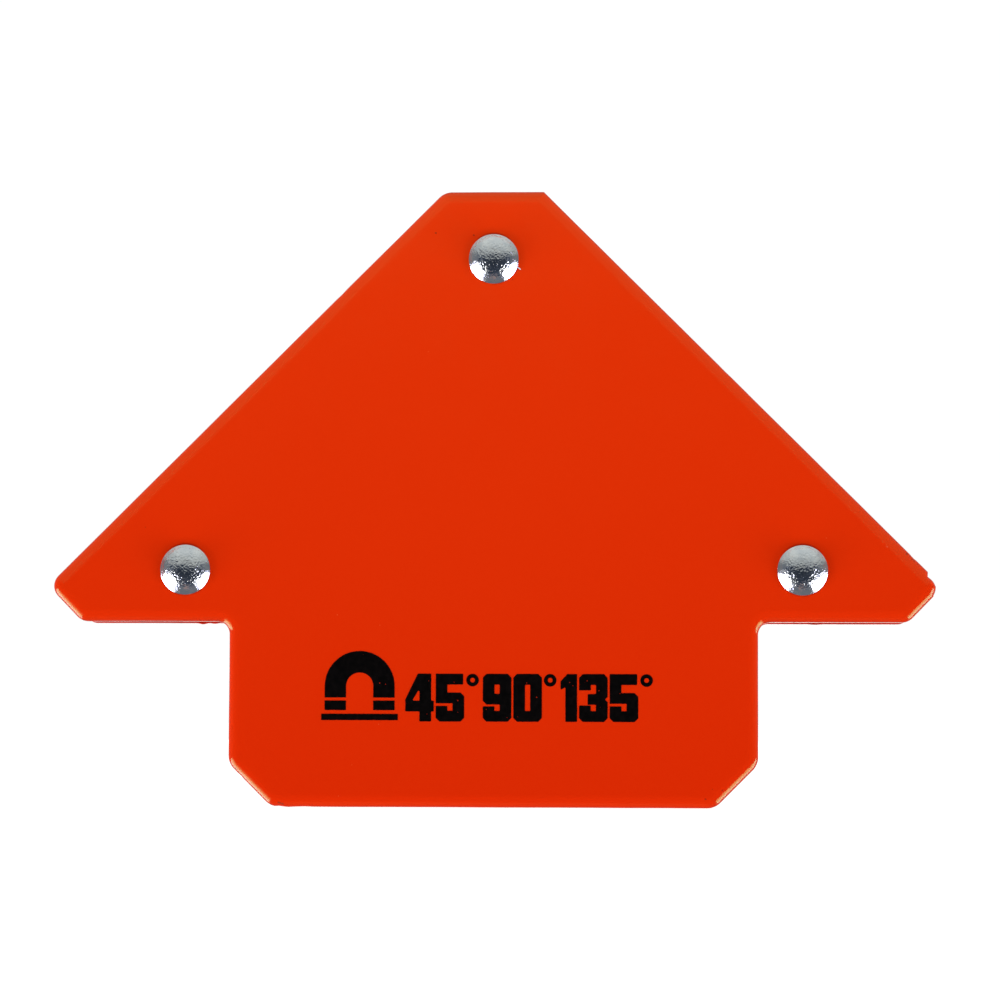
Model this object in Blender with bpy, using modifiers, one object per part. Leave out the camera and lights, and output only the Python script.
"""Arrow-shaped magnetic welding holder, small size: two painted steel plates riveted over plastic
inserts, rivet sleeves and ferrite block magnets.

Frame: metres, +Z up. The holder stands on the bottom edge of its stem. The scene origin is the
centre of that edge, midway between the two plates. The front plate faces -Y. Left and right are
as seen from the front, so right is +X. Sizes below are in mm, and outlines are (x, z) points.
"""

import math

import bmesh
import bpy

MM = 0.001
ROOT2 = math.sqrt(2.0)
STAND_UP = (math.pi / 2, 0.0, 0.0)  # turns local XY into world XZ, with local +Z facing the front

# Plate outline, from the bottom edge up; half widths are to the sharp corners
HEIGHT = 84.0  # bottom edge to apex flat
APEX_HALF = 6.8  # half the apex flat
TIP_HALF = 60.85  # half the width at the arm tips
ARM_UNDERSIDE = 25.1  # height of the arms' undersides
TIP_CHAMFER = 4.7  # width of the chamfer under each arm tip
STEM_HALF = 35.9
STEM_CHAMFER = 5.85
DIAGONAL_SUM = APEX_HALF + HEIGHT  # x + z along the right-hand 45 degree edge
TIP_HEIGHT = DIAGONAL_SUM - TIP_HALF
APEX_RADIUS = 2.5
TIP_RADIUS = 2.0
INNER_RADIUS = 1.7  # corner between stem and arm
STEM_RADIUS = 2.6

# Thicknesses along Y
PLATE = 2.0
CORE_SPACE = 7.0  # between the plates' inner faces
SEAT = 0.1  # clearance that keeps neighbouring solids apart
CORE_THICKNESS = CORE_SPACE - 2 * SEAT  # inserts, magnets and sleeves
EDGE_ROUND = 1.1  # rolled edge of each plate's outer face
BURR_ROUND = 0.15  # softened edge of each plate's inner face

# Magnets
MAGNET_LENGTH = 20.0
MAGNET_WIDTH = 10.0
MAGNET_BEVEL = 0.35
POCKET_GAP = 0.2  # clearance round each magnet and sleeve
POCKET_RADIUS = 0.3
DIAGONAL_INSIDE = 8.0  # diagonal magnets' centres, inside the diagonal edge
UPPER_ALONG = 19.0  # their distances down that edge from the apex corner
LOWER_ALONG = 43.0
STEM_MAGNET = (28.0, 21.5)
BASE_MAGNET = (11.0, 7.5)

# Inserts
RECESS = 1.0  # the inserts sit this far inside the plates' outline
SEAM = 0.3  # gap between neighbouring inserts
SEAM_SUM = 68.5  # x + z along the seam below an arm insert
APEX_SEAM_ALONG = 31.0  # distance of the apex insert's seams along the diagonals
ARM_SEAM_X = 37.0
CENTRE_HALF = 21.3  # centre insert's half width
CENTRE_LOW = 16.5  # height of its lower edge
APEX_INSERT_RADIUS = 1.5
ARM_INSERT_RADIUS = 1.0
BASE_INSERT_RADIUS = 1.6
BASE_INNER_RADIUS = INNER_RADIUS + RECESS
CENTRE_INSERT_RADIUS = 0.6
WINDOW_SIZE = (11.4, 12.4)  # openings through the centre insert
WINDOW_PITCH = 13.2
WINDOW_ROWS = (25.6, 40.4)  # heights of their centres
WINDOW_RADIUS = 1.2

# Rivets and sleeves
ARM_RIVET_X, ARM_RIVET_Z = 41.9, 32.1
RIVETS = {
    "apex": (0.0, 74.6),
    "left": (-ARM_RIVET_X, ARM_RIVET_Z),
    "right": (ARM_RIVET_X, ARM_RIVET_Z),
}
SHANK_RADIUS = 2.0
RIVET_HOLE = 2.15  # radius of the holes in the plates
CUTTER_OVERRUN = 1.0  # each hole cutter passes this far beyond the plate's faces
HEAD_RADIUS = 3.4
HEAD_HEIGHT = 1.6
HEAD_LIP = 0.22  # height of the rim under each domed head
HEAD_GAP = 0.03  # between head and plate
HEAD_UNDERCUT = 0.08  # the front head's foot is this much inside its rim
REAR_RIM_RADIUS = HEAD_RADIUS - 0.1
REAR_FOOT_RADIUS = HEAD_RADIUS - 0.2
SLEEVE_INNER = 2.2
SLEEVE_OUTER = 3.25
SLEEVE_CHAMFER = 0.2
SLEEVE_SEAT = SLEEVE_OUTER + POCKET_GAP  # radius of the hole round a sleeve

# Facets round a full turn
RIVET_STEPS = 28  # rivets, their holes and the sleeve seats
SLEEVE_STEPS = 24


# Scene and materials

def clear_scene():
    for obj in list(bpy.data.objects):
        bpy.data.objects.remove(obj, do_unlink=True)


def new_collection(name):
    collection = bpy.data.collections.new(name)
    bpy.context.scene.collection.children.link(collection)
    return collection


def principled(name, colour, roughness, metallic):
    material = bpy.data.materials.new(name)
    material.use_nodes = True
    shader = material.node_tree.nodes["Principled BSDF"]
    shader.inputs["Base Color"].default_value = (*colour, 1.0)
    shader.inputs["Roughness"].default_value = roughness
    shader.inputs["Metallic"].default_value = metallic
    return material


# Outlines

def mirror(point):
    return (-point[0], point[1])


def offset_polygon(corners, offsets):
    """The anticlockwise polygon with edge i, from corner i to i + 1, moved in by offsets[i]."""
    lines = []  # unit normal and the line's distance along it
    for i, (x0, z0) in enumerate(corners):
        x1, z1 = corners[(i + 1) % len(corners)]
        length = math.hypot(x1 - x0, z1 - z0)
        normal_x, normal_z = -(z1 - z0) / length, (x1 - x0) / length
        lines.append((normal_x, normal_z, normal_x * x0 + normal_z * z0 + offsets[i]))
    moved = []
    for i, (x1, z1, distance1) in enumerate(lines):
        x0, z0, distance0 = lines[i - 1]
        cross = x0 * z1 - z0 * x1
        moved.append((
            (distance0 * z1 - z0 * distance1) / cross,
            (x0 * distance1 - distance0 * x1) / cross,
        ))
    return moved


def direction(start, end):
    """Unit vector from start to end."""
    x, z = end[0] - start[0], end[1] - start[1]
    length = math.hypot(x, z)
    return x / length, z / length


def rounded(corners, radii, step):
    """Corners replaced by arcs, cut about every step degrees; a radius of 0 stays sharp."""
    points = []
    for i, (corner, radius) in enumerate(zip(corners, radii)):
        if radius <= 0:
            points.append(corner)
            continue
        x, z = corner
        back_x, back_z = direction(corner, corners[i - 1])
        next_x, next_z = direction(corner, corners[(i + 1) % len(corners)])
        cosine = back_x * next_x + back_z * next_z
        half_angle = math.acos(max(-1.0, min(1.0, cosine))) / 2
        reach = radius / math.tan(half_angle)  # from the corner to each end of the arc
        middle_x, middle_z = direction((0.0, 0.0), (back_x + next_x, back_z + next_z))
        centre_x = x + middle_x * radius / math.sin(half_angle)
        centre_z = z + middle_z * radius / math.sin(half_angle)
        start = math.atan2(z + back_z * reach - centre_z, x + back_x * reach - centre_x)
        end = math.atan2(z + next_z * reach - centre_z, x + next_x * reach - centre_x)
        sweep = (end - start + math.pi) % (2 * math.pi) - math.pi
        parts = max(2, round(abs(math.degrees(sweep)) / step))
        for k in range(parts + 1):
            angle = start + sweep * k / parts
            points.append((
                centre_x + radius * math.cos(angle),
                centre_z + radius * math.sin(angle),
            ))
    return points


def circle(x, z, radius, steps):
    angles = [2 * math.pi * k / steps for k in range(steps)]
    return [(x + radius * math.cos(angle), z + radius * math.sin(angle)) for angle in angles]


def rectangle(x, z, length, width, turn=0.0):
    cosine, sine = math.cos(turn), math.sin(turn)
    points = []
    for side_x, side_z in ((-1, -1), (1, -1), (1, 1), (-1, 1)):
        along, across = side_x * length / 2, side_z * width / 2
        points.append((x + cosine * along - sine * across, z + sine * along + cosine * across))
    return points


# Solids from outlines

def flat_curve(name, loops, thickness, y, collection):
    """An outline and its holes, extruded along Y with its middle at y."""
    curve = bpy.data.curves.new(name, "CURVE")
    curve.dimensions = "2D"
    curve.fill_mode = "BOTH"
    curve.extrude = thickness / 2 * MM
    for loop in loops:
        spline = curve.splines.new("POLY")
        spline.points.add(len(loop) - 1)
        for point, (x, z) in zip(spline.points, loop):
            point.co = (x * MM, z * MM, 0.0, 1.0)
        spline.use_cyclic_u = True
    obj = bpy.data.objects.new(name, curve)
    obj.rotation_euler = STAND_UP
    obj.location = (0.0, y * MM, 0.0)
    collection.objects.link(obj)
    return obj


def join_caps(bm):
    """Joins each flat end into one face; only for an outline without holes."""
    heights = [v.co.z for v in bm.verts]
    for level in (min(heights), max(heights)):
        cap = [f for f in bm.faces if all(abs(v.co.z - level) < 1e-7 for v in f.verts)]
        bmesh.ops.dissolve_faces(bm, faces=cap, use_verts=False)


def to_mesh(obj, whole_caps=False):
    """Replaces the curve object by one welded mesh object in the same place."""
    bpy.context.view_layer.update()
    graph = bpy.context.evaluated_depsgraph_get()
    mesh = bpy.data.meshes.new_from_object(obj.evaluated_get(graph))
    bm = bmesh.new()
    bm.from_mesh(mesh)
    bmesh.ops.remove_doubles(bm, verts=bm.verts[:], dist=1e-6)
    if whole_caps:
        join_caps(bm)
    bmesh.ops.recalc_face_normals(bm, faces=bm.faces[:])
    bm.to_mesh(mesh)
    bm.free()
    name, collection, matrix = obj.name, obj.users_collection[0], obj.matrix_world.copy()
    bpy.data.objects.remove(obj, do_unlink=True)
    made = bpy.data.objects.new(name, mesh)
    made.matrix_world = matrix
    collection.objects.link(made)
    return made


def smooth(obj, sharp_degrees):
    obj.data.shade_smooth()
    obj.data.set_sharp_from_angle(angle=math.radians(sharp_degrees))


# Plates

def plate_corners():
    """The plate's corners as (x, z, radius), anticlockwise from the bottom edge's right end."""
    right = [
        (STEM_HALF - STEM_CHAMFER, 0.0, STEM_RADIUS),
        (STEM_HALF, STEM_CHAMFER, STEM_RADIUS),
        (STEM_HALF, ARM_UNDERSIDE, INNER_RADIUS),
        (TIP_HALF - TIP_CHAMFER, ARM_UNDERSIDE, TIP_RADIUS),
        (TIP_HALF, TIP_HEIGHT, TIP_RADIUS),
        (APEX_HALF, HEIGHT, APEX_RADIUS),
    ]
    return right + [(-x, z, radius) for x, z, radius in reversed(right)]


def round_plate_edges(plate, side):
    """Bevels both rims of the plate: fully on its outer face, slightly on its inner face."""
    bm = bmesh.new()
    bm.from_mesh(plate.data)
    weight = bm.edges.layers.float.new("bevel_weight_edge")
    for edge in bm.edges:
        levels = {round(v.co.z / MM, 3) for v in edge.verts}
        if len(levels) != 1 or len(edge.link_faces) != 2:
            continue
        caps = [abs(face.normal.z) > 0.9 for face in edge.link_faces]
        if caps.count(True) == 1:
            outer = (levels.pop() > 0) == (side < 0)
            edge[weight] = 1.0 if outer else BURR_ROUND / EDGE_ROUND
    bm.to_mesh(plate.data)
    bm.free()
    bevel = plate.modifiers.new("rolled edge", "BEVEL")
    bevel.limit_method = "WEIGHT"
    bevel.width = EDGE_ROUND * MM
    bevel.segments = 3
    bevel.use_clamp_overlap = False


def make_cutter(name, x, y, z, cutters):
    """A hidden cylinder that cuts one rivet hole."""
    bpy.ops.mesh.primitive_cylinder_add(
        vertices=RIVET_STEPS,
        radius=RIVET_HOLE * MM,
        depth=(PLATE + 2 * CUTTER_OVERRUN) * MM,
        location=(x * MM, y * MM, z * MM),
        rotation=STAND_UP,
    )
    cutter = bpy.context.object
    cutter.name = name
    for owner in list(cutter.users_collection):
        owner.objects.unlink(cutter)
    cutters.objects.link(cutter)
    cutter.hide_render = True
    cutter.display_type = "WIRE"
    return cutter


def make_plate(name, side, sheared, collection, cutters, material):
    """A stamped plate. side is -1 in front and +1 behind.

    Both plates are the same stamping, turned round. Its apex flat is sheared square to a sharp
    corner at one end, towards +X for a sheared of 1, and rounded at the other.
    """
    corners = plate_corners()
    radii = [0.0 if z == HEIGHT and x * sheared > 0 else radius for x, z, radius in corners]
    outline = rounded([(x, z) for x, z, _ in corners], radii, step=9.0)
    middle = side * (CORE_SPACE / 2 + PLATE / 2)
    plate = to_mesh(flat_curve(name, [outline], PLATE, middle, collection), whole_caps=True)
    plate.data.materials.append(material)
    round_plate_edges(plate, side)
    for where, (x, z) in RIVETS.items():
        cutter = make_cutter(f"cut_{name}_{where}", x, middle, z, cutters)
        hole = plate.modifiers.new(f"hole {where}", "BOOLEAN")
        hole.operation = "DIFFERENCE"
        hole.solver = "EXACT"
        hole.object = cutter
    smooth(plate, sharp_degrees=40.0)
    weighted = plate.modifiers.new("flat faces", "WEIGHTED_NORMAL")
    weighted.keep_sharp = True


# Magnets

def diagonal_point(along, inside):
    """Point at a distance down the right-hand diagonal from the apex corner, and inside it."""
    return APEX_HALF + (along - inside) / ROOT2, HEIGHT - (along + inside) / ROOT2


def magnet_places():
    """Each magnet's centre x, z and turn in radians. Its length lies along the turned X axis."""
    upper = diagonal_point(UPPER_ALONG, DIAGONAL_INSIDE)
    lower = diagonal_point(LOWER_ALONG, DIAGONAL_INSIDE)
    right = {
        "magnet_upper_diagonal": (*upper, -math.pi / 4),
        "magnet_lower_diagonal": (*lower, -math.pi / 4),
        "magnet_stem": (*STEM_MAGNET, math.pi / 2),
        "magnet_base": (*BASE_MAGNET, 0.0),
    }
    places = {}
    for name, (x, z, turn) in right.items():
        places[f"{name}_right"] = (x, z, turn)
        places[f"{name}_left"] = (-x, z, -turn)
    return places


def make_magnet(name, place, collection, material):
    x, z, turn = place
    mesh = bpy.data.meshes.new(name)
    bm = bmesh.new()
    bmesh.ops.create_cube(bm, size=1.0)
    size = (MAGNET_LENGTH * MM, CORE_THICKNESS * MM, MAGNET_WIDTH * MM)
    bmesh.ops.scale(bm, vec=size, verts=bm.verts[:])
    bm.to_mesh(mesh)
    bm.free()
    mesh.materials.append(material)
    magnet = bpy.data.objects.new(name, mesh)
    magnet.location = (x * MM, 0.0, z * MM)
    magnet.rotation_euler = (0.0, -turn, 0.0)
    collection.objects.link(magnet)
    bevel = magnet.modifiers.new("ground edge", "BEVEL")
    bevel.width = MAGNET_BEVEL * MM
    bevel.segments = 1


# Inserts

def crossing(total, difference):
    """The point where x + z is total and x - z is difference."""
    return (total + difference) / 2, (total - difference) / 2


def core_points():
    """Key corners of the core outline and its seams, on the right-hand side."""
    # x + z or x - z along the 45 degree lines
    diagonal = DIAGONAL_SUM - RECESS * ROOT2
    tip = (TIP_HALF - TIP_HEIGHT) - RECESS * ROOT2
    chamfer = (STEM_HALF - STEM_CHAMFER) - RECESS * ROOT2
    apex_seam = APEX_HALF - HEIGHT + APEX_SEAM_ALONG * ROOT2
    underside = ARM_UNDERSIDE + RECESS
    stem = STEM_HALF - RECESS
    top = HEIGHT - RECESS
    return {
        "apex": (diagonal - top, top),
        "apex_seam": crossing(diagonal, apex_seam),
        "tip": crossing(diagonal, tip),
        "tip_low": (tip + underside, underside),
        "arm_seam_low": (ARM_SEAM_X, underside),
        "arm_seam_high": (ARM_SEAM_X, SEAM_SUM - ARM_SEAM_X),
        "inner": (stem, underside),
        "stem_low": (stem, stem - chamfer),
        "base": (chamfer + RECESS, RECESS),
        "junction": crossing(SEAM_SUM, apex_seam),
        "centre_high": (CENTRE_HALF, SEAM_SUM - CENTRE_HALF),
        "centre_low": (CENTRE_HALF, CENTRE_LOW),
    }


def symmetric(right, bottom_offset):
    """A whole shape from its right half, listed upwards from the end of its bottom edge."""
    corner, radius, _ = right[0]
    shape = [(mirror(corner), radius, bottom_offset), *right]
    for i in range(len(right) - 1, 0, -1):
        corner, radius, _ = right[i]
        # The edge leaving a mirrored corner is the one that arrives at the right-hand corner
        shape.append((mirror(corner), radius, right[i - 1][2]))
    return shape


def insert_shapes():
    """Corners as (point, radius, inward offset of the edge leaving it), anticlockwise."""
    point = core_points()
    gap = SEAM / 2
    apex = [
        (point["junction"], 0.0, gap),
        (point["apex_seam"], 0.0, 0.0),
        (point["apex"], APEX_INSERT_RADIUS, 0.0),
    ]
    right_arm = [
        (point["arm_seam_low"], 0.0, 0.0),
        (point["tip_low"], ARM_INSERT_RADIUS, 0.0),
        (point["tip"], ARM_INSERT_RADIUS, 0.0),
        (point["apex_seam"], 0.0, gap),
        (point["junction"], 0.0, gap),
        (point["arm_seam_high"], 0.0, gap),
    ]
    base = [
        (point["base"], BASE_INSERT_RADIUS, 0.0),
        (point["stem_low"], BASE_INSERT_RADIUS, 0.0),
        (point["inner"], BASE_INNER_RADIUS, 0.0),
        (point["arm_seam_low"], 0.0, gap),
        (point["arm_seam_high"], 0.0, gap),
        (point["centre_high"], 0.0, gap),
        (point["centre_low"], CENTRE_INSERT_RADIUS, gap),
    ]
    centre = [
        (point["centre_low"], CENTRE_INSERT_RADIUS, gap),
        (point["centre_high"], 0.0, gap),
        (point["junction"], 0.0, gap),
    ]
    return {
        "apex_insert": symmetric(apex, bottom_offset=gap),
        "right_arm_insert": right_arm,
        "base_insert": symmetric(base, bottom_offset=0.0),
        "centre_insert": symmetric(centre, bottom_offset=gap),
    }


def magnet_pocket(name):
    x, z, turn = magnet_places()[name]
    length, width = MAGNET_LENGTH + 2 * POCKET_GAP, MAGNET_WIDTH + 2 * POCKET_GAP
    return rounded(rectangle(x, z, length, width, turn), [POCKET_RADIUS] * 4, step=45.0)


def sleeve_seat(where):
    return circle(*RIVETS[where], SLEEVE_SEAT, RIVET_STEPS)


def insert_holes():
    return {
        "apex_insert": [
            magnet_pocket("magnet_upper_diagonal_right"),
            magnet_pocket("magnet_upper_diagonal_left"),
            sleeve_seat("apex"),
        ],
        "right_arm_insert": [magnet_pocket("magnet_lower_diagonal_right"), sleeve_seat("right")],
        "base_insert": [
            magnet_pocket(f"magnet_{row}_{hand}")
            for row in ("base", "stem")
            for hand in ("right", "left")
        ],
        "centre_insert": [
            rounded(rectangle(x, z, *WINDOW_SIZE), [WINDOW_RADIUS] * 4, step=30.0)
            for x in (-WINDOW_PITCH, 0.0, WINDOW_PITCH)
            for z in WINDOW_ROWS
        ],
    }


def make_insert(name, loops, collection, material):
    insert = to_mesh(flat_curve(name, loops, CORE_THICKNESS, 0.0, collection))
    insert.data.materials.append(material)
    smooth(insert, sharp_degrees=30.0)


def make_inserts(collection, material):
    holes = insert_holes()
    for name, shape in insert_shapes().items():
        points, radii, offsets = zip(*shape)
        outline = rounded(offset_polygon(points, offsets), radii, step=15.0)
        loops = [outline, *holes[name]]
        make_insert(name, loops, collection, material)
        if name == "right_arm_insert":
            mirrored = [[mirror(point) for point in reversed(loop)] for loop in loops]
            make_insert("left_arm_insert", mirrored, collection, material)


# Rivets and sleeves

def turned(name, where, profile, steps, collection, material, closed=False):
    """A profile of (radius, height) turned about local Z, which points to the front."""
    mesh = bpy.data.meshes.new(name)
    last = len(profile) - 1
    edges = [(i, i + 1) for i in range(last)]
    if closed:
        edges.append((last, 0))
    mesh.from_pydata([(radius * MM, 0.0, height * MM) for radius, height in profile], edges, [])
    mesh.materials.append(material)
    obj = bpy.data.objects.new(name, mesh)
    x, z = RIVETS[where]
    obj.location = (x * MM, 0.0, z * MM)
    obj.rotation_euler = STAND_UP
    collection.objects.link(obj)
    screw = obj.modifiers.new("turned", "SCREW")
    screw.axis = "Z"
    screw.angle = 2 * math.pi
    screw.steps = steps
    screw.render_steps = steps
    screw.use_merge_vertices = True
    screw.merge_threshold = 0.00001
    screw.use_smooth_shade = True


def dome(radius, height, base, parts, side):
    """Points of a spherical head from its centre to its rim. side is +1 in front, -1 behind."""
    sphere = (radius * radius + height * height) / (2 * height)
    limit = math.asin(radius / sphere)
    points = []
    for k in range(parts + 1):
        angle = limit * k / parts
        level = base + height - sphere * (1 - math.cos(angle))
        points.append((sphere * math.sin(angle), side * level))
    return points


def make_rivet(where, collection, material):
    foot = CORE_SPACE / 2 + PLATE + HEAD_GAP
    rim = foot + HEAD_LIP
    rise = HEAD_HEIGHT - HEAD_LIP
    front = dome(HEAD_RADIUS, rise, rim, parts=5, side=1)
    rear = dome(REAR_RIM_RADIUS, rise, rim, parts=4, side=-1)
    profile = [
        *front,
        (HEAD_RADIUS - HEAD_UNDERCUT, foot),
        (SHANK_RADIUS, foot),
        (SHANK_RADIUS, -foot),
        (REAR_FOOT_RADIUS, -foot),
        *reversed(rear),
    ]
    turned(f"rivet_{where}", where, profile, RIVET_STEPS, collection, material)


def make_sleeve(where, collection, material):
    half = CORE_THICKNESS / 2
    profile = [
        (SLEEVE_OUTER - SLEEVE_CHAMFER, half),
        (SLEEVE_OUTER, half - SLEEVE_CHAMFER),
        (SLEEVE_OUTER, -half + SLEEVE_CHAMFER),
        (SLEEVE_OUTER - SLEEVE_CHAMFER, -half),
        (SLEEVE_INNER, -half),
        (SLEEVE_INNER, half),
    ]
    turned(f"sleeve_{where}", where, profile, SLEEVE_STEPS, collection, material, closed=True)


def main():
    clear_scene()
    parts = new_collection("welding_magnet_holder")
    cutters = new_collection("cutters")
    paint = principled("orange_paint", (0.60, 0.028, 0.002), roughness=0.22, metallic=0.0)
    plastic = principled("orange_plastic", (0.50, 0.024, 0.003), roughness=0.45, metallic=0.0)
    ferrite = principled("ferrite", (0.045, 0.045, 0.05), roughness=0.65, metallic=0.1)
    zinc = principled("zinc_plate", (0.72, 0.74, 0.76), roughness=0.22, metallic=1.0)
    aluminium = principled("aluminium", (0.78, 0.78, 0.79), roughness=0.35, metallic=1.0)

    make_plate("front_plate", -1, 1, parts, cutters, paint)
    make_plate("rear_plate", 1, -1, parts, cutters, paint)
    make_inserts(parts, plastic)
    for name, place in magnet_places().items():
        make_magnet(name, place, parts, ferrite)
    for where in RIVETS:
        make_rivet(where, parts, zinc)
        make_sleeve(where, parts, aluminium)


main()
